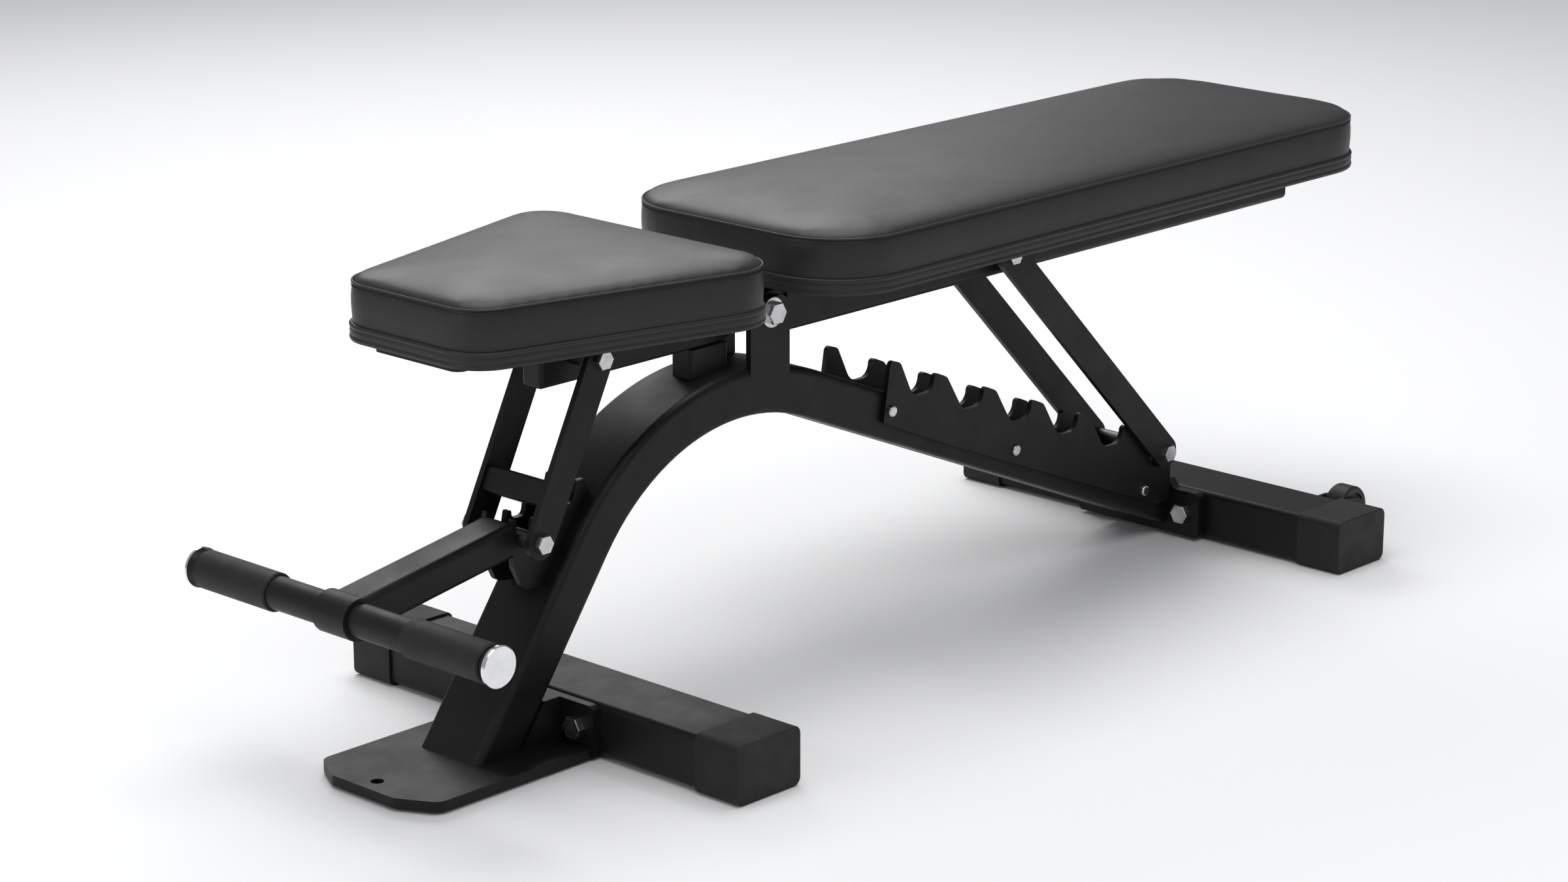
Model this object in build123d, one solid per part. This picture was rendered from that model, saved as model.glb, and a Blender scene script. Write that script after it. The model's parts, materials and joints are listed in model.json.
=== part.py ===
"""Adjustable weight bench: arched spine frame, tilting back rest and seat, notched ladders."""
import os
from math import atan2, cos, degrees, radians, sin, sqrt, tan
from build123d import *

os.makedirs("parts", exist_ok=True)

# ---- general ----
X_MID = 416.65           # centre of the overall length, so the origin is the middle of the base
M12 = 12.0               # thread size of the hinge and flange bolts
M10 = 10.0               # thread size of the strut bolts
FIT = 0.05               # radial running clearance of a bore on its bolt
BORE = M12 + 2 * FIT
STRUT_BORE = M10 + 2 * FIT
HEAD_AF = 19.0           # M12 hexagon across flats
STRUT_AF = 16.0          # M10 hexagon across flats
HEAD_H = 7.5             # M12 bolt head height
STRUT_HEAD_H = 6.4       # M10 bolt head height
NUT_H = 10.0             # M12 nut height
STRUT_NUT_H = 8.0        # M10 nut height
GAP = 0.3                # free gap between parts that move on each other

# ---- crossbars ----
BAR_X = 75.2             # crossbar tube depth along the bench
BAR_Z = 50.0             # crossbar tube height
BAR_WALL = 3.0
BAR_FLOOR = 2.8          # tube underside above the floor
CAP_OUT = 2.5            # end cap wall outside the tube
CAP_LEN = 51.3
HALF_WIDTH = 250.0       # half of the overall width
FRONT_BAR = 2.6          # front face of the front crossbar tube
REAR_BAR = 879.8         # front face of the rear crossbar tube
BASE_BOLT_Y = 58.0
BASE_BOLT_Z = 28.0

# ---- footplate and flanges ----
FOOT_T = 9.5
FOOT_Z = 2.7
FOOT_X0 = -205.0
FOOT_X1 = -5.4
FOOT_HALF = 77.0
FOOT_HOLE_X = -188.0
FOOT_HOLE_R = 6.0
FLANGE_T = 8.0
FLANGE_HALF = 79.0

# ---- spine arch ----
ARCH_W = 76.0
ARCH_D = 45.0
ARCH_WALL = 3.0
ARCH_EDGE = 7.0
ARCH_CX = 234.6
ARCH_CZ = 41.0
ARCH_R = 239.0           # centre line radius
FRONT_LEG_DEG = 54.5     # slope of the front leg
REAR_LEG_DEG = 22.6      # fall of the rear leg
REAR_END_X = 869.0

# ---- main hinge ----
HINGE_X = 267.0
HINGE_Z = 352.0
POST_OUT = 38.0
POST_IN = 32.0
POST_X0 = 240.0
POST_X1 = 292.0
POST_TOP = 366.0
EAR_IN = 23.0
EAR_OUT = 28.0
EAR_R = 16.5

# ---- frames under the pads ----
FRAME_Z0 = 326.0
FRAME_Z1 = 376.0
PLATE_Z1 = 382.0
BACK_HALF = 31.0
BACK_X0 = 296.0
BACK_X1 = 1068.0
SEAT_HALF = 12.5
SEAT_X0 = 2.0

# ---- pads ----
PAD_Z0 = 382.2
PAD_Z1 = 446.0
LIP_Z = 398.5            # top of the lip band
SEAM_Z = 438.5           # seam where the side meets the top
PAD_HALF = 150.0
BACK_PAD_X0 = 238.5
BACK_PAD_X1 = 1070.0
BACK_PAD_R = 78.0
SEAT_FRONT_R = 42.0
SEAT_REAR_R = 46.0
SEAT_FRONT_X = -145.0
SEAT_FRONT_HALF = 87.0
SEAT_REAR_X = 168.0
SEAT_REAR_HALF = 165.0
BOARD_T = 14.0

PAD_SCREW_Y = 86.0
SCREW_R = 3.0
BACK_PLATES = [(340.0, 420.0), (880.0, 960.0)]
SEAT_SCREWS = [(-100.0, -40.0), (-100.0, 40.0), (100.0, -40.0), (100.0, 40.0)]

# ---- back rest ladder ----
NOTCHES = 6
NOTCH_X = 473.0          # bar centre in the highest notch
NOTCH_Z = 242.5
PITCH_X = 73.6
PITCH_Z = -28.3
NOTCH_DROP = 9.3         # notch floor below the bar centre
LADDER_IN = 38.0
LADDER_OUT = 43.0

LADDER_BOLTS = [(428.0, 226.0), (613.0, 148.0), (822.0, 60.0)]
LADDER_BOLT_R = 3.0

# ---- back rest strut ----
STRUT_U = (595.0, 350.0)
STRUT_F = (850.0, 96.0)
STRUT_W = 32.0
STRUT_IN = 44.0
STRUT_OUT = 50.0
FOOT_SLEEVE_R = 9.0

# ---- seat strut and seat ladder ----
SEAT_U = (46.0, 351.0)
SEAT_B = (-29.0, 199.5)
SSTRUT_W = 30.0
SSTRUT_IN = 37.0
SSTRUT_OUT = 43.0
CATCH_R = 8.0
SLADDER_IN = 14.0
SLADDER_OUT = 20.0

# ---- handle ----
HANDLE_X = -218.4
HANDLE_Z = 171.0
HANDLE_R = 15.0
GRIP_R = 17.5
GRIP_CAP_R = 18.3
HANDLE_HALF = 193.6

# ---- wheels ----
WHEEL_X = 984.0
WHEEL_Z = 34.0
WHEEL_R = 24.5
WHEEL_Y0 = 170.0
WHEEL_Y1 = 192.0
AXLE_R = 4.0


def rounded_face(corners):
    """Flat face from corners (a, b, radius) in order, each corner rounded by its radius."""
    turn = 0
    for i in range(len(corners)):
        turn += corners[i - 1][0] * corners[i][1] - corners[i][0] * corners[i - 1][1]
    if turn < 0:
        corners = list(reversed(corners))
    starts = []
    mids = []
    ends = []
    count = len(corners)
    for i in range(count):
        a, b, r = corners[i]
        here = Vector(a, b)
        prev = Vector(corners[i - 1][0], corners[i - 1][1])
        nxt = Vector(corners[(i + 1) % count][0], corners[(i + 1) % count][1])
        back = (prev - here).normalized()
        ahead = (nxt - here).normalized()
        if r == 0:
            starts.append(here)
            mids.append(None)
            ends.append(here)
            continue
        half = radians(back.get_angle(ahead)) / 2
        middle = (back + ahead).normalized()
        starts.append(here + back * (r / tan(half)))
        mids.append(here + middle * (r / sin(half) - r))
        ends.append(here + ahead * (r / tan(half)))
    edges = []
    for i in range(count):
        if mids[i] is not None:
            edges.append(Edge.make_three_point_arc(starts[i], mids[i], ends[i]))
        nxt = starts[(i + 1) % count]
        if (nxt - ends[i]).length > 1e-4:
            edges.append(Edge.make_line(ends[i], nxt))
    return Face(Wire(edges))


def side_solid(corners, y0, y1):
    """Solid from an outline in the X-Z plane between two Y positions."""
    face = rounded_face(corners)
    return extrude(Plane.XZ.offset(-y1) * face, amount=y1 - y0)


def plan_solid(corners, z0, z1):
    """Solid from an outline in the X-Y plane between two heights."""
    face = rounded_face(corners)
    return extrude(Pos(0, 0, z0) * face, amount=z1 - z0)


def both_sides(solid):
    """The solid and its mirror image across the middle of the bench."""
    return Compound(children=[solid, mirror(solid, about=Plane.XZ)])


def y_rod(x, z, r, y0, y1):
    """Round rod along Y."""
    return Pos(x, (y0 + y1) / 2, z) * Rot(90, 0, 0) * Cylinder(r, y1 - y0)


def y_ring(x, z, r_out, r_in, y0, y1):
    """Round ring or sleeve along Y."""
    return y_rod(x, z, r_out, y0, y1) - y_rod(x, z, r_in, y0 - 1, y1 + 1)


def y_hex(x, z, flats, y0, y1):
    """Hexagon along Y."""
    hexa = RegularPolygon(flats / 2, 6, major_radius=False)
    return extrude(Plane.XZ.offset(-y1) * Pos(x, z) * hexa, amount=y1 - y0)


def x_rod(y, z, r, x0, x1):
    """Round rod along X."""
    return Pos((x0 + x1) / 2, y, z) * Rot(0, 90, 0) * Cylinder(r, x1 - x0)


def x_hex(y, z, flats, x0, x1):
    """Hexagon along X."""
    hexa = RegularPolygon(flats / 2, 6, major_radius=False)
    return extrude(Plane.YZ.offset(x0) * Pos(y, z) * hexa, amount=x1 - x0)


def chamfer_head(solid, axis):
    """Hexagon with its outer corners eased on both ends."""
    return chamfer(solid.faces().sort_by(axis)[0].edges(), 0.6)


def y_bolt(x, z, y_seat, y_end):
    """M12 bolt along Y with its head outside the near side, at y = -y_seat."""
    head = chamfer_head(y_hex(x, z, HEAD_AF, -y_seat - HEAD_H, -y_seat), Axis.Y)
    return head + y_rod(x, z, M12 / 2, -y_seat - 1, y_end)


def y_nut(x, z, y0):
    """M12 nut along Y."""
    return y_hex(x, z, HEAD_AF, y0, y0 + NUT_H) - y_rod(x, z, BORE / 2, y0 - 1, y0 + NUT_H + 1)


def strut_bolt(centre, y_seat, y_end):
    """M10 bolt along Y with its head outside the near side, at y = -y_seat."""
    x, z = centre
    head = chamfer_head(y_hex(x, z, STRUT_AF, -y_seat - STRUT_HEAD_H, -y_seat), Axis.Y)
    return head + y_rod(x, z, M10 / 2, -y_seat - 1, y_end)


def strut_nut(centre, y0):
    """M10 nut along Y."""
    x, z = centre
    y1 = y0 + STRUT_NUT_H
    return y_hex(x, z, STRUT_AF, y0, y1) - y_rod(x, z, STRUT_BORE / 2, y0 - 1, y1 + 1)


def box(x0, x1, y0, y1, z0, z1):
    """Plain block from its limits."""
    size = Box(x1 - x0, y1 - y0, z1 - z0)
    return Pos((x0 + x1) / 2, (y0 + y1) / 2, (z0 + z1) / 2) * size


def flat_bar(p, q, width, y0, y1):
    """Flat bar with round ends between two points of the X-Z plane."""
    dx = q[0] - p[0]
    dz = q[1] - p[1]
    turn = degrees(atan2(dz, dx))
    slot = SlotCenterToCenter(sqrt(dx * dx + dz * dz), width)
    placed = Pos((p[0] + q[0]) / 2, (p[1] + q[1]) / 2) * Rot(0, 0, turn) * slot
    bar = extrude(Plane.XZ.offset(-y1) * placed, amount=y1 - y0)
    for end in (p, q):
        bar = bar - y_rod(end[0], end[1], STRUT_BORE / 2, y0 - 1, y1 + 1)
    return bar


# ---------------------------------------------------------------- base
def arch_side(offset):
    """One edge line of the spine seen from the side, offset outwards from its centre line."""
    radius = ARCH_R + offset
    slope = radians(FRONT_LEG_DEG)
    fall = radians(REAR_LEG_DEG)
    a = Vector(ARCH_CX - radius * sin(slope), ARCH_CZ + radius * cos(slope))
    m = Vector(ARCH_CX, ARCH_CZ + radius)
    b = Vector(ARCH_CX + radius * sin(fall), ARCH_CZ + radius * cos(fall))
    start = a + Vector(-cos(slope), -sin(slope)) * 260
    end = b + Vector(cos(fall), -sin(fall)) * 640
    return start, a, m, b, end


def arch_solid(width, depth, edge):
    """Solid arch: front leg, arc and rear leg, with rounded long edges."""
    s0, a0, m0, b0, e0 = arch_side(depth / 2)
    s1, a1, m1, b1, e1 = arch_side(-depth / 2)
    edges = [Edge.make_line(s1, s0), Edge.make_line(s0, a0), Edge.make_three_point_arc(a0, m0, b0),
             Edge.make_line(b0, e0), Edge.make_line(e0, e1), Edge.make_line(e1, b1),
             Edge.make_three_point_arc(b1, m1, a1), Edge.make_line(a1, s1)]
    face = Face(Wire(edges))
    if face.normal_at().Z < 0:
        face = -face
    solid = extrude(Plane.XZ.offset(-width / 2) * face, amount=width)
    sides = solid.faces().sort_by(Axis.Y)
    return fillet(sides[0].edges() + sides[-1].edges(), edge)


def spine_tube():
    """Arched rectangular tube, cut flat on the footplate and upright at the rear flange."""
    inner = arch_solid(ARCH_W - 2 * ARCH_WALL, ARCH_D - 2 * ARCH_WALL, ARCH_EDGE - ARCH_WALL)
    tube = arch_solid(ARCH_W, ARCH_D, ARCH_EDGE) - inner
    tube = tube - box(-600, 400, -60, 60, -400, FOOT_Z + FOOT_T)
    tube = tube - box(REAR_END_X, 1200, -60, 60, -400, 400)
    for x, z in LADDER_BOLTS:
        tube = tube - y_rod(x, z, LADDER_BOLT_R + FIT, -60, 60)
    return tube


def foot_plate():
    """Plate that the front leg stands on, with a bolt-down hole near its front edge."""
    outline = [(FOOT_X1, -FOOT_HALF, 0), (FOOT_X1, FOOT_HALF, 0), (-185, FOOT_HALF, 14),
               (FOOT_X0, 40, 14), (FOOT_X0, -40, 14), (-185, -FOOT_HALF, 14)]
    plate = plan_solid(outline, FOOT_Z, FOOT_Z + FOOT_T)
    return plate - Pos(FOOT_HOLE_X, 0, FOOT_Z) * Cylinder(FOOT_HOLE_R, 60)


def flange_holes(x0, x1):
    """Bolt holes through the flanges and crossbars."""
    r = BORE / 2
    pair = x_rod(BASE_BOLT_Y, BASE_BOLT_Z, r, x0, x1) + x_rod(-BASE_BOLT_Y, BASE_BOLT_Z, r, x0, x1)
    return pair


def front_flange_plate():
    plate = box(FOOT_X1, FRONT_BAR, -FLANGE_HALF, FLANGE_HALF, 3, 51)
    plate = fillet(plate.edges().filter_by(Axis.X).group_by(Axis.Z)[-1], 6)
    return plate - flange_holes(-20, 20)


def front_gusset():
    """Welded box between the front leg and the front flange: two cheeks and a top."""
    z0 = FOOT_Z + FOOT_T
    profile = [(-51.6, z0, 0), (-23.9, 51, 0), (FOOT_X1, 51, 0), (FOOT_X1, z0, 0)]
    inner = [(-60, z0 - 5, 0), (-60, 46, 0), (FOOT_X1 + 1, 46, 0), (FOOT_X1 + 1, z0 - 5, 0)]
    block = side_solid(profile, -37, 37)
    return block - side_solid(inner, -32, 32)


def rear_flange_plate():
    outline = [(-79, 4, 4), (79, 4, 4), (79, 52, 6), (45, 52, 6), (39, 61, 5), (-39, 61, 5),
               (-45, 52, 6), (-79, 52, 6)]
    plate = extrude(Plane.YZ.offset(REAR_END_X) * rounded_face(outline), amount=REAR_BAR - REAR_END_X)
    return plate - flange_holes(REAR_END_X - 5, REAR_BAR + 5)


def crossbar(x0):
    """Rectangular tube across the bench, drilled for its flange bolts."""
    z0 = BAR_FLOOR
    end = HALF_WIDTH - CAP_OUT
    outer = RectangleRounded(BAR_X, BAR_Z, 6)
    inner = RectangleRounded(BAR_X - 2 * BAR_WALL, BAR_Z - 2 * BAR_WALL, 3)
    plane = Plane.XZ.offset(-end)
    centre = Pos(x0 + BAR_X / 2, z0 + BAR_Z / 2)
    tube = extrude(plane * centre * (outer - inner), amount=2 * end)
    return tube - flange_holes(x0 - 5, x0 + BAR_X + 5)


def crossbar_caps(x0):
    """Moulded slip-over caps on both ends of a crossbar; they are the bench's feet."""
    length = CAP_LEN
    width = BAR_X + 2 * CAP_OUT
    height = BAR_Z + CAP_OUT + BAR_FLOOR
    outer = RectangleRounded(width, height, 8)
    pocket = RectangleRounded(BAR_X, BAR_Z, 6)
    cx = x0 + BAR_X / 2
    body = extrude(Plane.XZ.offset(HALF_WIDTH - length) * Pos(cx, height / 2) * outer, amount=length)
    hollow = Pos(cx, BAR_FLOOR + BAR_Z / 2) * pocket
    body = body - extrude(Plane.XZ.offset(HALF_WIDTH - length) * hollow, amount=length - CAP_OUT)
    body = chamfer(body.faces().sort_by(Axis.Y)[0].edges(), 1.0)
    return both_sides(body)


def base_bolts():
    """Flange bolts of both crossbars, heads towards the spine."""
    bolts = []
    past_bar = BAR_X + NUT_H + 4
    for y in (-BASE_BOLT_Y, BASE_BOLT_Y):
        for seat, far in ((FOOT_X1, FRONT_BAR + past_bar), (REAR_END_X, REAR_BAR + past_bar)):
            head = x_hex(y, BASE_BOLT_Z, HEAD_AF, seat - HEAD_H, seat)
            head = chamfer(head.faces().sort_by(Axis.X)[0].edges(), 0.6)
            bolts.append(head + x_rod(y, BASE_BOLT_Z, M12 / 2, seat - 1, far))
    return Compound(children=bolts)


def base_nuts():
    nuts = []
    for y in (-BASE_BOLT_Y, BASE_BOLT_Y):
        for x0 in (FRONT_BAR + BAR_X, REAR_BAR + BAR_X):
            nut = x_hex(y, BASE_BOLT_Z, HEAD_AF, x0, x0 + NUT_H)
            nuts.append(nut - x_rod(y, BASE_BOLT_Z, BORE / 2, x0 - 1, x0 + NUT_H + 1))
    return Compound(children=nuts)


def ladder_outline():
    """Humped teeth with a round-bottomed notch between them; the last notch holds the flat position."""
    floor = NOTCH_Z - NOTCH_DROP
    corners = [(417, 216, 4), (427, 276, 5), (441, 271, 8)]
    for k in range(NOTCHES - 1):
        x = NOTCH_X + k * PITCH_X
        z = floor + k * PITCH_Z
        corners.append((x - 13.5, z, 17))
        corners.append((x + 15.5, z, 12.5))
        corners.append((x + 17.5, z + 18.5, 4.6))
        corners.append((x + 36, z + 10.4, 12))
    x, z = STRUT_F
    z = z - NOTCH_DROP
    corners += [(x - 15, z, 16), (x + 10.5, z, 4.5), (x + 11.5, z + 10, 1.5), (x + 16, z + 10, 1.5)]
    corners += [(x + 16, 40, 4), (845, 40, 10), (510, 175.6, 60)]
    return corners


def ladder_plate():
    plate = side_solid(ladder_outline(), LADDER_IN, LADDER_OUT)
    for x, z in LADDER_BOLTS:
        plate = plate - y_rod(x, z, LADDER_BOLT_R + FIT, LADDER_IN - 1, LADDER_OUT + 1)
    return plate


def ladder_bolts():
    """Button-headed bolts through both ladder plates and the spine."""
    bolts = []
    for x, z in LADDER_BOLTS:
        head = y_rod(x, z, 5.6, -LADDER_OUT - 3.5, -LADDER_OUT)
        head = fillet(head.faces().sort_by(Axis.Y)[0].edges(), 1.8)
        bolts.append(head + y_rod(x, z, LADDER_BOLT_R, -LADDER_OUT - 1, LADDER_OUT + 8))
    return Compound(children=bolts)


def ladder_nuts():
    nuts = []
    for x, z in LADDER_BOLTS:
        nut = y_hex(x, z, 10, LADDER_OUT, LADDER_OUT + 5.0)
        nuts.append(nut - y_rod(x, z, LADDER_BOLT_R + FIT, LADDER_OUT - 1, LADDER_OUT + 8))
    return Compound(children=nuts)


def hinge_post_plates():
    """Two upright cheeks welded on top of the spine, carrying the main hinge bolt."""
    outline = [(POST_X0, 285, 0), (POST_X0, POST_TOP, 14), (POST_X1, POST_TOP, 14), (POST_X1, 285, 0)]
    plate = side_solid(outline, POST_IN, POST_OUT)
    plate = plate - y_rod(HINGE_X, HINGE_Z, BORE / 2, 0, 60)
    plate = plate - arch_solid(ARCH_W, ARCH_D, ARCH_EDGE)
    keep = plate.solids().sort_by(SortBy.VOLUME)[-1]
    return both_sides(keep)


def hinge_bolt():
    return y_bolt(HINGE_X, HINGE_Z, POST_OUT + 2.5, POST_OUT + 2.5 + NUT_H + 4)


def hinge_nut():
    return y_nut(HINGE_X, HINGE_Z, POST_OUT + 2.5)


def hinge_washers():
    """Washers under the head and nut, and spacers that keep the ears and seat bush apart."""
    rings = []
    for r, y0, y1 in ((14, POST_OUT, POST_OUT + 2.5), (12, EAR_OUT + GAP, POST_IN),
                      (11, SEAT_HALF + GAP, EAR_IN - GAP)):
        rings.append(y_ring(HINGE_X, HINGE_Z, r, BORE / 2, y0, y1))
        rings.append(y_ring(HINGE_X, HINGE_Z, r, BORE / 2, -y1, -y0))
    return Compound(children=rings)


def seat_ladder_plates():
    """Twin notched plates on the front of the spine; the seat strut's cross bolt drops in."""
    r = CATCH_R + GAP
    outline = [(-42, 176, 0), (-42, 219, 2), (-37.5, 219, 2), (-37.5, 195, 6), (-20.5, 195, 6),
               (-17, 214.5, 2), (-12, 214.5, 2), (-11.5, 206, 5), (4.5, 206, 6), (8, 227, 2),
               (13, 227, 2), (13.7, 219, 5), (30, 219, 6), (36, 238, 2), (45, 238, 0),
               (54, 215, 0), (20, 150, 0), (-8, 150, 4), (-31, 153, 10)]
    plate = side_solid(outline, SLADDER_IN, SLADDER_OUT)
    plate = plate - y_rod(SEAT_B[0], SEAT_B[1], r, 0, 40)
    plate = plate - arch_solid(ARCH_W, ARCH_D, ARCH_EDGE)
    keep = plate.solids().sort_by(SortBy.VOLUME)[-1]
    return both_sides(keep)


def handle_frame():
    """Local frame of the handle tube: origin on the handle bar axis, X back towards the spine."""
    turn = atan2(199.0 - HANDLE_Z, -42.0 - HANDLE_X)
    along = (cos(turn), 0, sin(turn))
    across = (-sin(turn), 0, cos(turn))
    return Plane(origin=(HANDLE_X, 0, HANDLE_Z), x_dir=along, z_dir=across)


def handle_tube():
    """Rectangular tube that carries the handle bar out in front of the spine."""
    section = RectangleRounded(40, 32, 6) - RectangleRounded(34, 26, 3)
    frame = handle_frame()
    start = Plane(origin=frame.origin, x_dir=(0, 1, 0), z_dir=frame.x_dir)
    tube = extrude(start * section, amount=200)
    tube = tube - box(-42, 60, -40, 40, 0, 400)
    return tube - y_rod(HANDLE_X, HANDLE_Z, 19, -40, 40)


def handle_collar():
    return y_ring(HANDLE_X, HANDLE_Z, 19, HANDLE_R + FIT, -20, 20)


def handle_bar():
    return y_rod(HANDLE_X, HANDLE_Z, HANDLE_R, -190, 190) - y_rod(HANDLE_X, HANDLE_Z, HANDLE_R - 2, -191, 191)


def handle_grips():
    grip = y_ring(HANDLE_X, HANDLE_Z, GRIP_R, HANDLE_R + FIT, 87, 183)
    grip = chamfer(grip.edges().filter_by(GeomType.CIRCLE).sort_by(SortBy.RADIUS)[-2:], 1.5)
    return both_sides(grip)


def handle_end_caps():
    """Turned caps on the ends of the handle bar, with a plug inside the tube."""
    cap = y_rod(HANDLE_X, HANDLE_Z, GRIP_CAP_R, 190, HANDLE_HALF)
    cap = cap + y_rod(HANDLE_X, HANDLE_Z, HANDLE_R - 2.1, 178, 191)
    return both_sides(chamfer(cap.faces().sort_by(Axis.Y)[-1].edges(), 1.0))


def seat_rest_bumper():
    """Rubber block on the crown of the spine that the seat frame rests on."""
    block = box(188, 236, -14, 14, 280, FRAME_Z0 - GAP)
    block = fillet(block.edges().filter_by(Axis.Z), 5)
    block = block - arch_solid(ARCH_W, ARCH_D, ARCH_EDGE)
    return block.solids().sort_by(Axis.Z)[-1]


def wheel_brackets():
    """Lugs welded to the rear crossbar, one each side of each transport wheel."""
    x0 = REAR_BAR + BAR_X
    outline = [(x0, 14, 0), (x0, 50, 0), (x0 + 14, 50, 4), (WHEEL_X + 12, WHEEL_Z + 12, 11.5),
               (WHEEL_X + 12, WHEEL_Z - 12, 11.5), (x0 + 14, 14, 4)]
    lugs = []
    for y0 in (WHEEL_Y0 - 0.4 - 4, WHEEL_Y1 + 0.4):
        lug = side_solid(outline, y0, y0 + 4)
        lug = lug - y_rod(WHEEL_X, WHEEL_Z, AXLE_R + FIT, y0 - 1, y0 + 5)
        lugs.append(lug)
        lugs.append(mirror(lug, about=Plane.XZ))
    return Compound(children=lugs)


def wheel_axles():
    """Bolt axle of each transport wheel, head on the outer side."""
    head = y_rod(WHEEL_X, WHEEL_Z, 7, WHEEL_Y1 + 4.4, WHEEL_Y1 + 8.4)
    shank = y_rod(WHEEL_X, WHEEL_Z, AXLE_R, WHEEL_Y0 - 12, WHEEL_Y1 + 5)
    return both_sides(head + shank)


def wheel_nuts():
    y1 = WHEEL_Y0 - 4.4
    nut = y_hex(WHEEL_X, WHEEL_Z, 13, y1 - 6.5, y1)
    return both_sides(nut - y_rod(WHEEL_X, WHEEL_Z, AXLE_R + FIT, y1 - 8, y1 + 1))


def wheel(side):
    """Transport wheel with a recessed web."""
    tyre = y_rod(WHEEL_X, WHEEL_Z, WHEEL_R, WHEEL_Y0, WHEEL_Y1)
    tyre = fillet(tyre.edges().filter_by(GeomType.CIRCLE), 3)
    for y0, y1 in ((WHEEL_Y0 - 1, WHEEL_Y0 + 3), (WHEEL_Y1 - 3, WHEEL_Y1 + 1)):
        tyre = tyre - y_ring(WHEEL_X, WHEEL_Z, 18, 9, y0, y1)
    tyre = tyre - y_rod(WHEEL_X, WHEEL_Z, AXLE_R + FIT, 100, 250)
    if side < 0:
        return mirror(tyre, about=Plane.XZ)
    return tyre


# ---------------------------------------------------------------- back rest
def back_frame_tube():
    """Rectangular tube under the back pad, closed at its rear end."""
    outer = RectangleRounded(2 * BACK_HALF, FRAME_Z1 - FRAME_Z0, 7)
    inner = RectangleRounded(2 * BACK_HALF - 6, FRAME_Z1 - FRAME_Z0 - 6, 4)
    mid = (FRAME_Z0 + FRAME_Z1) / 2
    tube = extrude(Plane.YZ.offset(BACK_X0) * Pos(0, mid) * outer, amount=BACK_X1 - BACK_X0)
    tube = tube - extrude(Plane.YZ.offset(BACK_X0 - 1) * Pos(0, mid) * inner, amount=BACK_X1 - BACK_X0 - 2)
    return tube - y_rod(STRUT_U[0], STRUT_U[1], STRUT_BORE / 2, -60, 60)


def back_hinge_ears():
    """Two ears inside the mouth of the back tube, reaching forward to the hinge bolt."""
    outline = [(340, HINGE_Z - EAR_R, 0), (HINGE_X - EAR_R, HINGE_Z - EAR_R, EAR_R - 0.1),
               (HINGE_X - EAR_R, HINGE_Z + EAR_R, EAR_R - 0.1), (340, HINGE_Z + EAR_R, 0)]
    ear = side_solid(outline, EAR_IN, EAR_OUT)
    return both_sides(ear - y_rod(HINGE_X, HINGE_Z, BORE / 2, 0, 60))


def screw_spots_back():
    spots = []
    for x0, x1 in BACK_PLATES:
        for y in (-PAD_SCREW_Y, PAD_SCREW_Y):
            spots.append(((x0 + x1) / 2, y))
    return spots


def mount_plate(corners, spots):
    plate = plan_solid(corners, FRAME_Z1, PLATE_Z1)
    for x, y in spots:
        plate = plate - Pos(x, y, FRAME_Z1) * Cylinder(SCREW_R + FIT, 60)
    return plate


def back_mount_plates():
    plates = []
    spots = screw_spots_back()
    for x0, x1 in BACK_PLATES:
        outline = [(x0, -100, 8), (x1, -100, 8), (x1, 100, 8), (x0, 100, 8)]
        plates.append(mount_plate(outline, spots))
    return Compound(children=plates)


def pad_screws(spots):
    """Pan-headed screws up through a mount plate into the pad board."""
    screws = []
    for x, y in spots:
        head = Pos(x, y, FRAME_Z1 - 1.75) * Cylinder(6, 3.5)
        shank = Pos(x, y, FRAME_Z1 + 7) * Cylinder(SCREW_R, 16)
        screws.append(head + shank)
    return Compound(children=screws)


def pad_board(corners, spots):
    board = plan_solid(corners, PAD_Z0 - 0.2, PAD_Z0 - 0.2 + BOARD_T)
    for x, y in spots:
        board = board - Pos(x, y, PAD_Z0 + 5) * Cylinder(SCREW_R + FIT, 40)
    return board


def cushion(corners, pocket):
    """Upholstered pad: a closed block with eased top edges and a pocket for its board."""
    block = plan_solid(corners, PAD_Z0, PAD_Z1)
    block = fillet(block.faces().sort_by(Axis.Z)[-1].edges(), 12)
    return block - plan_solid(pocket, PAD_Z0 - 5, PAD_Z0 + BOARD_T)


def back_outline(inset):
    x0 = BACK_PAD_X0 + inset
    x1 = BACK_PAD_X1 - inset
    h = PAD_HALF - inset
    r = BACK_PAD_R - inset
    return [(x0, -h, r), (x1, -h, r), (x1, h, r), (x0, h, r)]


def seat_outline(inset):
    """Seat pad plan: narrow at the front, wide at the back rest."""
    x0 = SEAT_FRONT_X + inset
    x1 = SEAT_REAR_X - inset
    a = SEAT_FRONT_HALF - inset
    b = SEAT_REAR_HALF - inset
    front = SEAT_FRONT_R - inset
    rear = SEAT_REAR_R - inset
    return [(x0, -a, front), (x1, -b, rear), (x1, b, rear), (x0, a, front)]


def y_spacers(x, z, y0, y1):
    return both_sides(y_ring(x, z, 10, STRUT_BORE / 2, y0, y1))


# ---------------------------------------------------------------- struts
def back_struts():
    return both_sides(flat_bar(STRUT_U, STRUT_F, STRUT_W, STRUT_IN, STRUT_OUT))


def seat_struts():
    return both_sides(flat_bar(SEAT_U, SEAT_B, SSTRUT_W, SSTRUT_IN, SSTRUT_OUT))


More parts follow.
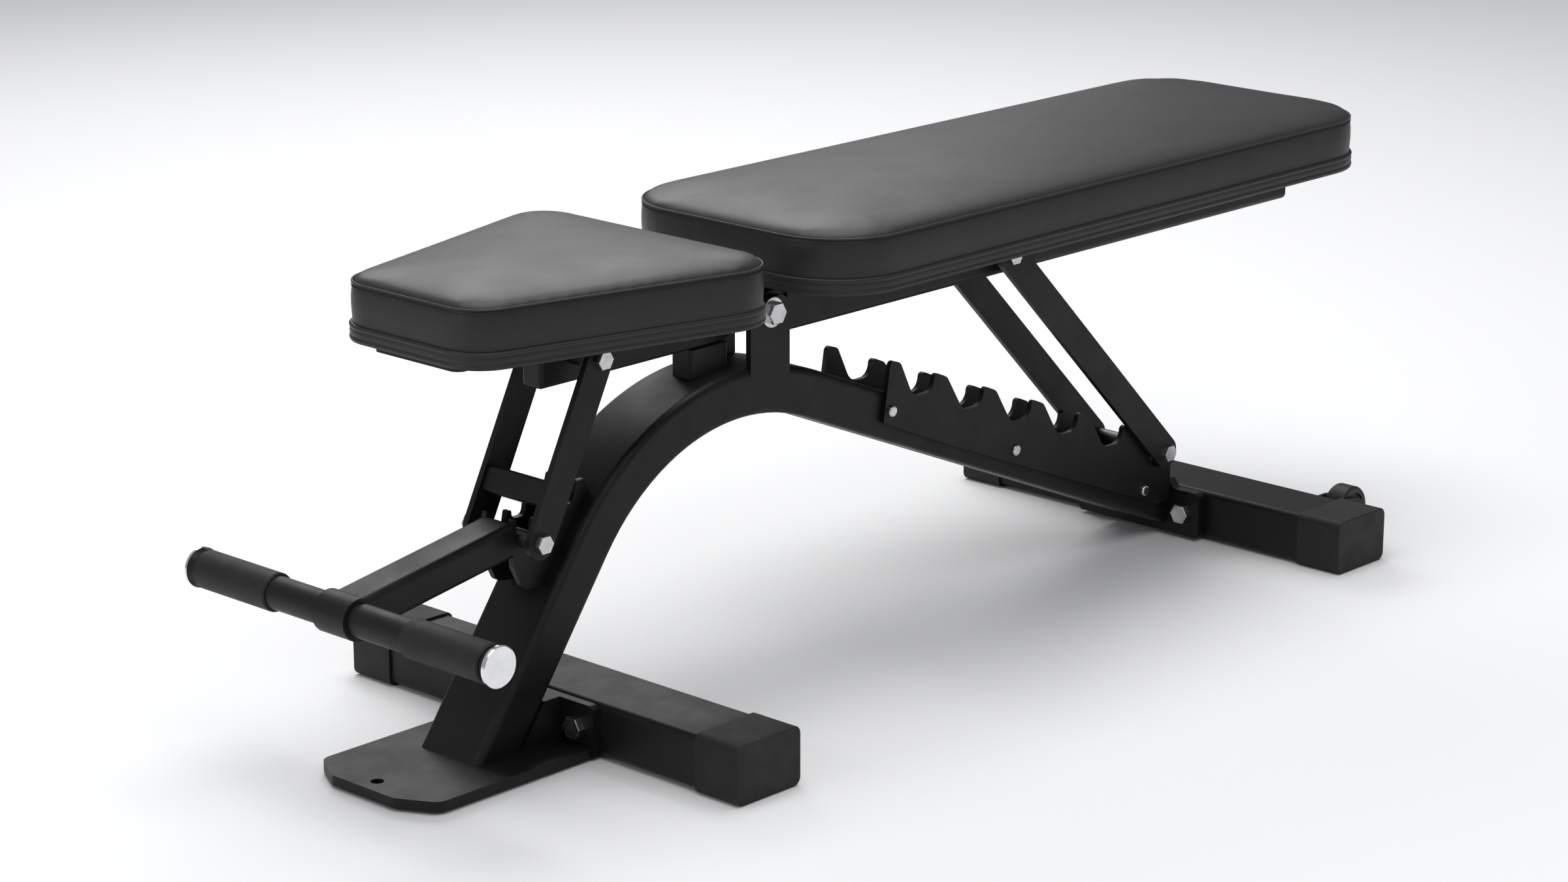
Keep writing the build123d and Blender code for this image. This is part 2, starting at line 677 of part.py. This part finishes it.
def seat_strut_brace():
    """Square bar that joins the two seat straps above their cross bolt."""
    dx = SEAT_U[0] - SEAT_B[0]
    dz = SEAT_U[1] - SEAT_B[1]
    turn = degrees(atan2(dz, dx))
    length = sqrt(dx * dx + dz * dz)
    cx = SEAT_B[0] + dx / length * 42
    cz = SEAT_B[1] + dz / length * 42
    square = Pos(cx, cz) * Rot(0, 0, turn) * RectangleRounded(24, 24, 3)
    return extrude(Plane.XZ.offset(-SSTRUT_IN) * square, amount=2 * SSTRUT_IN)


# ---------------------------------------------------------------- seat
def seat_frame_tube():
    """Narrow tube under the seat; its rear end dips to a solid neck that clears the back pad."""
    outline = [(SEAT_X0, FRAME_Z0, 3), (228, FRAME_Z0, 10), (256, 335, 10), (284, 335, 16),
               (284, 369, 16), (249, 369, 12), (234, 340, 8), (224, 337.5, 12), (152, FRAME_Z1, 12),
               (SEAT_X0, FRAME_Z1, 3)]
    hollow = [(SEAT_X0 + 3, FRAME_Z0 + 3, 0), (145, FRAME_Z0 + 3, 0), (145, FRAME_Z1 - 3, 0),
              (SEAT_X0 + 3, FRAME_Z1 - 3, 0)]
    tube = side_solid(outline, -SEAT_HALF, SEAT_HALF)
    tube = fillet(tube.edges().filter_by(Axis.Z).group_by(Axis.X)[0], 4)
    tube = tube - side_solid(hollow, -SEAT_HALF + 2.5, SEAT_HALF - 2.5)
    tube = tube - y_rod(SEAT_U[0], SEAT_U[1], STRUT_BORE / 2, -60, 60)
    return tube - y_rod(HINGE_X, HINGE_Z, 10, -60, 60)


def seat_hinge_bush():
    return y_ring(HINGE_X, HINGE_Z, 10, BORE / 2, -SEAT_HALF, SEAT_HALF)


def seat_mount_plate():
    outline = [(-133, -55, 10), (140, -55, 10), (140, 55, 10), (-133, 55, 10)]
    return mount_plate(outline, SEAT_SCREWS)


def build_nodes():
    nodes = {}
    nodes["spine_tube"] = spine_tube()
    nodes["foot_plate"] = foot_plate()
    nodes["front_flange_plate"] = front_flange_plate()
    nodes["front_gusset"] = front_gusset()
    nodes["rear_flange_plate"] = rear_flange_plate()
    nodes["front_crossbar"] = crossbar(FRONT_BAR)
    nodes["rear_crossbar"] = crossbar(REAR_BAR)
    nodes["front_end_caps"] = crossbar_caps(FRONT_BAR)
    nodes["rear_end_caps"] = crossbar_caps(REAR_BAR)
    nodes["base_bolts"] = base_bolts()
    nodes["base_nuts"] = base_nuts()
    nodes["ladder_plate_left"] = mirror(ladder_plate(), about=Plane.XZ)
    nodes["ladder_plate_right"] = ladder_plate()
    nodes["ladder_bolts"] = ladder_bolts()
    nodes["ladder_nuts"] = ladder_nuts()
    nodes["hinge_post_plates"] = hinge_post_plates()
    nodes["hinge_bolt"] = hinge_bolt()
    nodes["hinge_nut"] = hinge_nut()
    nodes["hinge_washers"] = hinge_washers()
    nodes["seat_ladder_plates"] = seat_ladder_plates()
    nodes["handle_tube"] = handle_tube()
    nodes["handle_collar"] = handle_collar()
    nodes["handle_bar"] = handle_bar()
    nodes["handle_grips"] = handle_grips()
    nodes["handle_end_caps"] = handle_end_caps()
    nodes["seat_rest_bumper"] = seat_rest_bumper()
    nodes["wheel_brackets"] = wheel_brackets()
    nodes["wheel_axles"] = wheel_axles()
    nodes["wheel_nuts"] = wheel_nuts()
    nodes["wheel_left"] = wheel(-1)
    nodes["wheel_right"] = wheel(1)
    nodes["back_frame_tube"] = back_frame_tube()
    nodes["back_hinge_ears"] = back_hinge_ears()
    nodes["back_mount_plates"] = back_mount_plates()
    nodes["back_pad_screws"] = pad_screws(screw_spots_back())
    nodes["back_pad_board"] = pad_board(back_outline(8), screw_spots_back())
    nodes["back_pad"] = cushion(back_outline(0), back_outline(7.8))
    nodes["back_pivot_bolt"] = strut_bolt(STRUT_U, STRUT_OUT + GAP, STRUT_OUT + STRUT_NUT_H + 3)
    nodes["back_pivot_nut"] = strut_nut(STRUT_U, STRUT_OUT + GAP)
    nodes["back_pivot_spacers"] = y_spacers(STRUT_U[0], STRUT_U[1], BACK_HALF, STRUT_IN - GAP)
    nodes["back_struts"] = back_struts()
    foot_x, foot_z = STRUT_F
    foot_sleeve = y_ring(foot_x, foot_z, FOOT_SLEEVE_R, STRUT_BORE / 2, -STRUT_IN, STRUT_IN)
    nodes["back_foot_sleeve"] = foot_sleeve
    nodes["back_foot_bolt"] = strut_bolt(STRUT_F, STRUT_OUT, STRUT_OUT + STRUT_NUT_H + 3)
    nodes["back_foot_nut"] = strut_nut(STRUT_F, STRUT_OUT)
    nodes["seat_frame_tube"] = seat_frame_tube()
    nodes["seat_hinge_bush"] = seat_hinge_bush()
    nodes["seat_mount_plate"] = seat_mount_plate()
    nodes["seat_pad_screws"] = pad_screws(SEAT_SCREWS)
    nodes["seat_pad_board"] = pad_board(seat_outline(8), SEAT_SCREWS)
    nodes["seat_pad"] = cushion(seat_outline(0), seat_outline(7.8))
    nodes["seat_pivot_bolt"] = strut_bolt(SEAT_U, SSTRUT_OUT + GAP, SSTRUT_OUT + STRUT_NUT_H + 3)
    nodes["seat_pivot_nut"] = strut_nut(SEAT_U, SSTRUT_OUT + GAP)
    nodes["seat_pivot_spacers"] = y_spacers(SEAT_U[0], SEAT_U[1], SEAT_HALF, SSTRUT_IN - GAP)
    nodes["seat_struts"] = seat_struts()
    nodes["seat_strut_brace"] = seat_strut_brace()
    nodes["seat_catch_sleeve"] = y_ring(SEAT_B[0], SEAT_B[1], CATCH_R, STRUT_BORE / 2, -SSTRUT_IN, SSTRUT_IN)
    nodes["seat_catch_bolt"] = strut_bolt(SEAT_B, SSTRUT_OUT, SSTRUT_OUT + STRUT_NUT_H + 3)
    nodes["seat_catch_nut"] = strut_nut(SEAT_B, SSTRUT_OUT)
    return nodes


for name, shape in build_nodes().items():
    placed = Pos(-X_MID, 0, 0) * shape
    export_step(placed, "parts/" + name + ".step")
    span = placed.bounding_box()
    print(name, len(placed.solids()), round(placed.volume / 1000, 1), placed.is_valid,
          [round(v, 1) for v in (*span.min, *span.max)])
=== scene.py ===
"""Looks of the adjustable weight bench: upholstered pads, finishes, floor, light and camera."""
import json
import math
import bpy
import bmesh
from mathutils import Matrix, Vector


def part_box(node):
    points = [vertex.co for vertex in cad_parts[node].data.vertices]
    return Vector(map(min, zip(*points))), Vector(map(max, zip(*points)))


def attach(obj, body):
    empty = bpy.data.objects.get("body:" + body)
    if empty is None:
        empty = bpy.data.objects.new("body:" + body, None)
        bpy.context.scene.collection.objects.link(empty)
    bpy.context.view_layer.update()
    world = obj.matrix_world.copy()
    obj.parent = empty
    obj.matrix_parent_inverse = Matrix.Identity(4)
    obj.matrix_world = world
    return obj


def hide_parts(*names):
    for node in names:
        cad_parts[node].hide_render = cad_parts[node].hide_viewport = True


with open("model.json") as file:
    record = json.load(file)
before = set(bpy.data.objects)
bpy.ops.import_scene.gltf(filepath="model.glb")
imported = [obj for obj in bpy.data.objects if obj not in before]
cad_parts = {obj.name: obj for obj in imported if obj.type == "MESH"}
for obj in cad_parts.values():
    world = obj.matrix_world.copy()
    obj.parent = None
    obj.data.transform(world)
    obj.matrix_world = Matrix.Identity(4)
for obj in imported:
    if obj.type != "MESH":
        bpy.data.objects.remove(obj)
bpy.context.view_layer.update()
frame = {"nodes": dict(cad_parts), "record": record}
NODES = frame["nodes"]

# pad sizes, in metres; the plan shapes are those of the CAD pads
BACK_LO, BACK_HI = (Vector(c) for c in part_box("back_pad"))
SEAT_LO, SEAT_HI = (Vector(c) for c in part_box("seat_pad"))
PAD_Z0 = BACK_LO.z
LIP_TOP = PAD_Z0 + 0.0160
SEAM_Z = PAD_Z0 + 0.0520
WALL_INSET = 0.0030
CROWN = 0.0040            # chosen rise of the cover over the rolled edge; the cloth gives its shape
ROLL = 0.0046             # held strip each side of the top seam
SWELL_FRAMES = 20
VOXEL = 0.0050
RISE_SHARE = 0.98         # the crown is measured at this share of the sorted rises
RISE_LIMIT = 1.05         # highest rise, as a multiple of the crown
SINK_LIMIT = -0.001       # lowest drop of the cover
SIDE_NORMAL_Z = 0.93      # a flatter normal than this belongs to the top face
BACK_CORNER_R = 0.078
SEAT_FRONT_HALF, SEAT_REAR_HALF = 0.087, 0.165
SEAT_FRONT_R, SEAT_REAR_R = 0.042, 0.046
EDGE_ROLL = [(0.0010, 0.0012), (0.0034, 0.0036), (0.0075, 0.0060), (0.0140, 0.0079), (0.0235, 0.0091),
             (0.0370, 0.0098), (0.0540, 0.0101)]   # (distance in, height above the seam) of the foam's edge


# ------------------------------------------------------------------ materials
def shader(name, color, rough, metallic=0.0, specular=0.5):
    """Empty procedural material with its Principled shader and an object-space texture position."""
    mat = bpy.data.materials.new(name)
    mat.use_nodes = True
    tree = mat.node_tree
    bsdf = tree.nodes["Principled BSDF"]
    bsdf.inputs["Base Color"].default_value = (*color, 1.0)
    bsdf.inputs["Roughness"].default_value = rough
    bsdf.inputs["Metallic"].default_value = metallic
    bsdf.inputs["Specular IOR Level"].default_value = specular
    coord = tree.nodes.new("ShaderNodeTexCoord")
    return mat, tree, bsdf, coord.outputs["Object"]


def noise(tree, where, scale, detail=3.0, rough=0.5):
    node = tree.nodes.new("ShaderNodeTexNoise")
    node.inputs["Scale"].default_value = scale
    node.inputs["Detail"].default_value = detail
    node.inputs["Roughness"].default_value = rough
    tree.links.new(where, node.inputs["Vector"])
    return node.outputs["Fac"]


def cells(tree, where, scale, feature="F1"):
    node = tree.nodes.new("ShaderNodeTexVoronoi")
    node.feature = feature
    node.inputs["Scale"].default_value = scale
    tree.links.new(where, node.inputs["Vector"])
    return node.outputs["Distance"]


def ramp(tree, value, stops):
    """Colour ramp over a value: stops are (position, (r, g, b))."""
    node = tree.nodes.new("ShaderNodeValToRGB")
    elements = node.color_ramp.elements
    while len(elements) < len(stops):
        elements.new(0.5)
    for element, (position, color) in zip(elements, stops):
        element.position = position
        element.color = (*color, 1.0)
    tree.links.new(value, node.inputs["Fac"])
    return node.outputs["Color"]


def bump(tree, height, strength, distance, below=None):
    node = tree.nodes.new("ShaderNodeBump")
    node.inputs["Strength"].default_value = strength
    node.inputs["Distance"].default_value = distance
    tree.links.new(height, node.inputs["Height"])
    if below is not None:
        tree.links.new(below, node.inputs["Normal"])
    return node.outputs["Normal"]


def grey(value):
    return (value, value, value * 1.02)


def powder_coat():
    """Matte black powder coat: fine orange peel, faint dust and handling marks."""
    mat, tree, bsdf, where = shader("powder_coat", grey(0.0050), 0.46, 0.0, 0.26)
    tone = ramp(tree, noise(tree, where, 9.0, 5.0), [(0.3, grey(0.0042)), (0.75, grey(0.0062))])
    tree.links.new(tone, bsdf.inputs["Base Color"])
    rough = ramp(tree, noise(tree, where, 26.0, 6.0, 0.6), [(0.25, grey(0.40)), (0.8, grey(0.56))])
    tree.links.new(rough, bsdf.inputs["Roughness"])
    peel = bump(tree, cells(tree, where, 900.0), 0.10, 0.0004)
    tree.links.new(bump(tree, noise(tree, where, 1500.0, 2.0), 0.12, 0.0003, peel), bsdf.inputs["Normal"])
    return mat


def metal(name, low, high, rough_low, rough_high, grain):
    """Plated or turned metal with fine grain and smudges."""
    mat, tree, bsdf, where = shader(name, grey(high), rough_low, 1.0)
    tone = ramp(tree, noise(tree, where, 60.0, 5.0), [(0.3, grey(low)), (0.7, grey(high))])
    tree.links.new(tone, bsdf.inputs["Base Color"])
    rough = ramp(tree, noise(tree, where, 140.0, 5.0), [(0.3, grey(rough_low)), (0.75, grey(rough_high))])
    tree.links.new(rough, bsdf.inputs["Roughness"])
    tree.links.new(bump(tree, noise(tree, where, grain, 2.0), 0.15, 0.0002), bsdf.inputs["Normal"])
    return mat


def moulded(name, tone_value, rough_value, grain):
    """Moulded rubber or plastic: eggshell grain and slight wear."""
    mat, tree, bsdf, where = shader(name, grey(tone_value), rough_value, 0.0, 0.4)
    stops = [(0.3, grey(tone_value * 0.8)), (0.75, grey(tone_value * 1.25))]
    tree.links.new(ramp(tree, noise(tree, where, 22.0, 4.0), stops), bsdf.inputs["Base Color"])
    stops = [(0.25, grey(rough_value - 0.08)), (0.8, grey(rough_value + 0.10))]
    tree.links.new(ramp(tree, noise(tree, where, 40.0, 4.0), stops), bsdf.inputs["Roughness"])
    tree.links.new(bump(tree, noise(tree, where, grain, 3.0), 0.22, 0.0003), bsdf.inputs["Normal"])
    return mat


def leatherette(name, tone_value):
    """Grained vinyl: pebbled cells with creases between them, over soft foam dips."""
    mat, tree, bsdf, where = shader(name, grey(tone_value), 0.5, 0.0, 0.32)
    stops = [(0.25, grey(tone_value * 0.86)), (0.8, grey(tone_value * 1.14))]
    tree.links.new(ramp(tree, noise(tree, where, 14.0, 6.0, 0.6), stops), bsdf.inputs["Base Color"])
    stops = [(0.3, grey(0.41)), (0.75, grey(0.48))]
    tree.links.new(ramp(tree, noise(tree, where, 16.0, 3.0), stops), bsdf.inputs["Roughness"])
    soft = bump(tree, noise(tree, where, 9.0, 1.0), 0.10, 0.0015)
    pebble = bump(tree, cells(tree, where, 520.0, "DISTANCE_TO_EDGE"), 0.30, 0.0005, soft)
    tree.links.new(bump(tree, noise(tree, where, 1700.0, 2.0), 0.12, 0.0002, pebble), bsdf.inputs["Normal"])
    return mat


def backing():
    """Black-stained board under a pad, with a faint grain along it."""
    mat, tree, bsdf, where = shader("pad_backing", grey(0.018), 0.8)
    stretch = tree.nodes.new("ShaderNodeMapping")
    stretch.inputs["Scale"].default_value = (1.0, 14.0, 14.0)
    tree.links.new(where, stretch.inputs["Vector"])
    grain = noise(tree, stretch.outputs["Vector"], 12.0, 6.0)
    tone = ramp(tree, grain, [(0.3, (0.012, 0.011, 0.010)), (0.8, (0.030, 0.027, 0.024))])
    tree.links.new(tone, bsdf.inputs["Base Color"])
    tree.links.new(bump(tree, grain, 0.2, 0.0005), bsdf.inputs["Normal"])
    return mat


MATS = {
    "powder_coat": powder_coat(),
    "dark_steel": metal("dark_steel", 0.10, 0.16, 0.34, 0.50, 700.0),
    "zinc": metal("zinc_plate", 0.50, 0.68, 0.22, 0.36, 900.0),
    "bright_metal": metal("bright_metal", 0.72, 0.86, 0.14, 0.26, 1100.0),
    "upholstery": leatherette("leatherette", 0.0185),
    "plywood": backing(),
    "rubber": moulded("rubber", 0.0060, 0.62, 420.0),
    "wheel_plastic": moulded("wheel_plastic", 0.0085, 0.50, 600.0),
}
THREAD = moulded("seam_thread", 0.022, 0.7, 1800.0)

for entry in frame["record"]["subparts"]:
    node = NODES[entry["node"]]
    material = MATS[entry["material_slot"]]
    if not node.material_slots:
        node.data.materials.append(material)
    for slot in node.material_slots:
        slot.material = material


# ------------------------------------------------------------------ pads
def back_corners(inset):
    r = BACK_CORNER_R - inset
    x0, x1 = BACK_LO.x + inset, BACK_HI.x - inset
    h = BACK_HI.y - inset
    return [(x0, -h, r), (x1, -h, r), (x1, h, r), (x0, h, r)]


def seat_corners(inset):
    """The seat plan: narrow front, wide rear; the rear corners meet beyond the rounded width."""
    x0, x1 = SEAT_LO.x + inset, SEAT_HI.x - inset
    a, b = SEAT_FRONT_HALF - inset, SEAT_REAR_HALF - inset
    front, rear = SEAT_FRONT_R - inset, SEAT_REAR_R - inset
    return [(x0, -a, front), (x1, -b, rear), (x1, b, rear), (x0, a, front)]


def outline(corners, arc_steps=10, run_steps=(60, 22, 60, 22)):
    """Points round a closed plan outline with rounded corners; equal counts for every inset."""
    arcs = []
    count = len(corners)
    for i in range(count):
        here = Vector(corners[i][:2])
        back = (Vector(corners[i - 1][:2]) - here).normalized()
        ahead = (Vector(corners[(i + 1) % count][:2]) - here).normalized()
        half = math.acos(max(-1.0, min(1.0, back.dot(ahead)))) / 2
        radius = max(corners[i][2], 0.0005)
        start = here + back * (radius / math.tan(half))
        centre = here + (back + ahead).normalized() * (radius / math.sin(half))
        sweep = math.pi - 2 * half
        arm = start - centre
        turn = 1 if back.cross(ahead) < 0 else -1
        points = []
        for k in range(arc_steps + 1):
            angle = turn * sweep * k / arc_steps
            c, s = math.cos(angle), math.sin(angle)
            points.append(centre + Vector((c * arm.x - s * arm.y, s * arm.x + c * arm.y)))
        arcs.append(points)
    out = []
    for i in range(count):
        out += arcs[i]
        a, b = arcs[i][-1], arcs[(i + 1) % count][0]
        for k in range(1, run_steps[i % len(run_steps)]):
            out.append(a.lerp(b, k / run_steps[i % len(run_steps)]))
    return out


def join_rings(mesh, low, high):
    for i in range(len(low)):
        j = (i + 1) % len(low)
        mesh.faces.new((low[i], low[j], high[j], high[i]))


def lofted(name, shape, profile, caps=True):
    """Closed mesh from rings: profile is a list of (inset, z)."""
    mesh = bmesh.new()
    rings = []
    for inset, z in profile:
        rings.append([mesh.verts.new((p.x, p.y, z)) for p in outline(shape(inset))])
    for low, high in zip(rings, rings[1:]):
        join_rings(mesh, low, high)
    if caps:
        mesh.faces.new(list(reversed(rings[0])))
        mesh.faces.new(rings[-1])
    else:
        join_rings(mesh, rings[-1], rings[0])
    bmesh.ops.recalc_face_normals(mesh, faces=mesh.faces)
    data = bpy.data.meshes.new(name)
    mesh.to_mesh(data)
    mesh.free()
    obj = bpy.data.objects.new(name, data)
    bpy.context.scene.collection.objects.link(obj)
    return obj


def apply_modifier(obj, name):
    bpy.context.view_layer.objects.active = obj
    bpy.ops.object.select_all(action="DESELECT")
    obj.select_set(True)
    bpy.ops.object.modifier_apply(modifier=name)


def smooth_faces(obj):
    for face in obj.data.polygons:
        face.use_smooth = True


def swell(obj):
    """Blows the cover up against its seams by cloth pressure, and scales its rise to the chosen crown."""
    rest = [v.co.copy() for v in obj.data.vertices]
    seams = obj.vertex_groups.new(name="seams")
    held = []
    for vertex in obj.data.vertices:
        z = vertex.co.z
        if z < LIP_TOP + 0.001 or (abs(z - SEAM_Z) < ROLL and on_side(obj, vertex)):
            held.append(vertex.index)
    seams.add(held, 1.0, "REPLACE")
    cloth = obj.modifiers.new("Cloth", "CLOTH")
    settings = cloth.settings
    settings.quality = 6
    settings.mass = 0.3
    settings.tension_stiffness = 12.0
    settings.compression_stiffness = 12.0
    settings.shear_stiffness = 6.0
    settings.bending_stiffness = 0.6
    settings.use_pressure = True
    settings.uniform_pressure_force = 4.0
    settings.vertex_group_mass = "seams"
    settings.effector_weights.gravity = 0.0
    cloth.point_cache.frame_start = 1
    cloth.point_cache.frame_end = SWELL_FRAMES
    scene = bpy.context.scene
    for step in range(1, SWELL_FRAMES + 1):
        scene.frame_set(step)
    apply_modifier(obj, "Cloth")
    scene.frame_set(1)
    moves = [v.co - r for v, r in zip(obj.data.vertices, rest)]
    rises = sorted(move.z for move in moves)
    top = max(rises[int(len(rises) * RISE_SHARE)], 1e-6)
    scale = CROWN / top
    for vertex, start, move in zip(obj.data.vertices, rest, moves):
        step = move * scale
        flat = Vector((step.x, step.y, 0.0))
        if flat.length > WALL_INSET:
            flat *= WALL_INSET / flat.length
        vertex.co = start + Vector((flat.x, flat.y, max(SINK_LIMIT, min(step.z, CROWN * RISE_LIMIT))))


def on_side(obj, vertex):
    return abs(vertex.normal.z) < SIDE_NORMAL_Z


def ring_curve(name, shape, inset, z, radius):
    """Round welt that runs all the way round a pad."""
    data = bpy.data.curves.new(name, "CURVE")
    data.dimensions = "3D"
    data.bevel_depth = radius
    data.bevel_resolution = 3
    spline = data.splines.new("POLY")
    points = outline(shape(inset))
    spline.points.add(len(points) - 1)
    for target, p in zip(spline.points, points):
        target.co = (p.x, p.y, z, 1.0)
    spline.use_cyclic_u = True
    spline.use_smooth = True
    obj = bpy.data.objects.new(name, data)
    bpy.context.scene.collection.objects.link(obj)
    return obj


def stitches(name, shape, inset, z, spacing=0.0042, length=0.0028, radius=0.00042):
    """Row of short thread stitches along a seam."""
    data = bpy.data.curves.new(name, "CURVE")
    data.dimensions = "3D"
    data.bevel_depth = radius
    data.bevel_resolution = 1
    points = outline(shape(inset))
    points.append(points[0])
    carried = 0.0
    for a, b in zip(points, points[1:]):
        run = (b - a).length
        if run < 1e-6:
            continue
        along = (b - a) / run
        at = spacing - carried
        while at < run:
            p = a + along * at
            q = p + along * length
            spline = data.splines.new("POLY")
            spline.points.add(1)
            spline.points[0].co = (p.x, p.y, z, 1.0)
            spline.points[1].co = (q.x, q.y, z, 1.0)
            at += spacing
        carried = run - (at - spacing)
    obj = bpy.data.objects.new(name, data)
    bpy.context.scene.collection.objects.link(obj)
    return obj


def make_pad(label, shape, node, body):
    """One pad: swollen cover, lip band with its double welt, top seam and stitching."""
    profile = [(0.0120, PAD_Z0 + 0.0004), (WALL_INSET, PAD_Z0 + 0.0008), (WALL_INSET, LIP_TOP),
               (WALL_INSET - 0.0012, PAD_Z0 + 0.034), (WALL_INSET, SEAM_Z - 0.0012)]
    profile += [(WALL_INSET + run, SEAM_Z + rise) for run, rise in EDGE_ROLL]
    cover = lofted(label + "_cover", shape, profile)
    remesh = cover.modifiers.new("Remesh", "REMESH")
    remesh.mode = "VOXEL"
    remesh.voxel_size = VOXEL
    apply_modifier(cover, "Remesh")
    swell(cover)
    relax = cover.modifiers.new("Relax", "SMOOTH")
    relax.factor = 0.5
    relax.iterations = 4
    apply_modifier(cover, "Relax")
    fine = cover.modifiers.new("Fine", "SUBSURF")
    fine.levels = 1
    fine.render_levels = 1
    smooth_faces(cover)
    cover.data.materials.append(MATS["upholstery"])

    z0, z1 = PAD_Z0, LIP_TOP
    band = [(0.0105, z0 + 0.0002), (0.0030, z0 + 0.0001), (0.0010, z0 + 0.0008), (0.0003, z0 + 0.0024),
            (0.0004, z0 + 0.0045), (0.0011, z0 + 0.0052), (0.0009, z0 + 0.0062), (0.0005, z0 + 0.0090),
            (0.0009, z1 - 0.0045), (0.0011, z1 - 0.0038), (0.0004, z1 - 0.0030), (0.0003, z1 - 0.0014),
            (0.0012, z1 - 0.0003), (0.0036, z1 + 0.0001), (0.0060, z1 - 0.0010)]
    lip = lofted(label + "_lip_band", shape, band, caps=False)
    smooth_faces(lip)
    lip.data.materials.append(MATS["upholstery"])

    seam = ring_curve(label + "_top_seam", shape, WALL_INSET + 0.0006, SEAM_Z, 0.0011)
    seam.data.materials.append(MATS["upholstery"])
    thread = stitches(label + "_stitching", shape, WALL_INSET - 0.0001, SEAM_Z - 0.0034)
    thread.data.materials.append(THREAD)
    for piece in (cover, lip, seam, thread):
        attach(piece, body)
    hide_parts(node)
    return cover


make_pad("back", back_corners, "back_pad", "back_rest")
make_pad("seat", seat_corners, "seat_pad", "seat")


# ------------------------------------------------------------------ stage
def backdrop_painted_shade_material(name, value, rough):
    mat, tree, bsdf, where = shader(name, (value, value, value), rough, 0.0, 0.3)
    split = tree.nodes.new("ShaderNodeSeparateXYZ")
    tree.links.new(where, split.inputs["Vector"])
    # painted shade: the colour darkens with height up the wall, standing in for the lamps' light falling
    # off
    stops = [(0.0, (value,) * 3), (0.25, (value * 0.93,) * 3), (1.0, (value * 0.66,) * 3)]
    tree.links.new(ramp(tree, split.outputs["Z"], stops), bsdf.inputs["Base Color"])
    return mat


def studio():
    """Pale floor that curves up into a wall whose colour is painted darker with height as painted shade,
    far enough off to stay behind every viewpoint.
    """
    radius, depth, width, height = 5.0, 16.0, 36.0, 9.0
    rows = [(-depth, 0.0), (depth - radius, 0.0)]
    for k in range(1, 13):
        angle = math.radians(90 * k / 12)
        rows.append((depth - radius + radius * math.sin(angle), radius - radius * math.cos(angle)))
    rows.append((depth, height))
    mesh = bmesh.new()
    heading = math.radians(43.2)
    ahead = Vector((math.cos(heading), math.sin(heading), 0.0))
    side = Vector((-ahead.y, ahead.x, 0.0))
    lines = []
    for along, up in rows:
        base = ahead * along + Vector((0.0, 0.0, up - 0.0004))
        lines.append((mesh.verts.new(base - side * width), mesh.verts.new(base + side * width)))
    for (a, b), (c, d) in zip(lines, lines[1:]):
        mesh.faces.new((a, c, d, b))
    data = bpy.data.meshes.new("studio_floor")
    mesh.to_mesh(data)
    mesh.free()
    obj = bpy.data.objects.new("studio_floor", data)
    bpy.context.scene.collection.objects.link(obj)
    for face in data.polygons:
        face.use_smooth = True
    data.materials.append(backdrop_painted_shade_material("studio_floor", 0.80, 0.7))


def area_light(name, place, target, size, power):
    data = bpy.data.lights.new(name, "AREA")
    data.shape = "RECTANGLE"
    data.size, data.size_y = size
    data.energy = power
    obj = bpy.data.objects.new(name, data)
    obj.location = place
    obj.rotation_euler = (Vector(target) - Vector(place)).to_track_quat("-Z", "Y").to_euler()
    bpy.context.scene.collection.objects.link(obj)


studio()
area_light("key_light", (-1.2, -2.4, 3.4), (0.0, 0.0, 0.2), (2.6, 2.0), 40.0)
area_light("top_light", (0.2, 0.4, 3.6), (0.1, 0.0, 0.3), (3.4, 2.4), 105.0)
area_light("rim_light", (1.6, 2.6, 2.2), (0.1, 0.0, 0.3), (2.4, 1.2), 38.0)
area_light("side_light", (-3.4, 0.6, 1.5), (0.0, 0.0, 0.25), (1.6, 1.6), 16.0)

world = bpy.data.worlds.new("studio_world")
world.use_nodes = True
world.node_tree.nodes["Background"].inputs["Color"].default_value = (0.93, 0.95, 1.0, 1.0)
world.node_tree.nodes["Background"].inputs["Strength"].default_value = 0.36
bpy.context.scene.world = world

CAMERA_LENS, CAMERA_SENSOR = 89.5, 36.0      # millimetres
CAMERA_PLACE = (-2.6596, -2.4120, 1.2310)
CAMERA_YAW, CAMERA_PITCH = 43.21, -16.17     # degrees
camera_data = bpy.data.cameras.new("camera")
camera_data.lens = CAMERA_LENS
camera_data.sensor_width = CAMERA_SENSOR
camera = bpy.data.objects.new("camera", camera_data)
camera.location = CAMERA_PLACE
yaw, pitch = math.radians(CAMERA_YAW), math.radians(CAMERA_PITCH)
look = Vector((math.cos(pitch) * math.cos(yaw), math.cos(pitch) * math.sin(yaw), math.sin(pitch)))
camera.rotation_euler = look.to_track_quat("-Z", "Y").to_euler()
bpy.context.scene.collection.objects.link(camera)
bpy.context.scene.camera = camera
bpy.context.scene.view_settings.view_transform = "Standard"
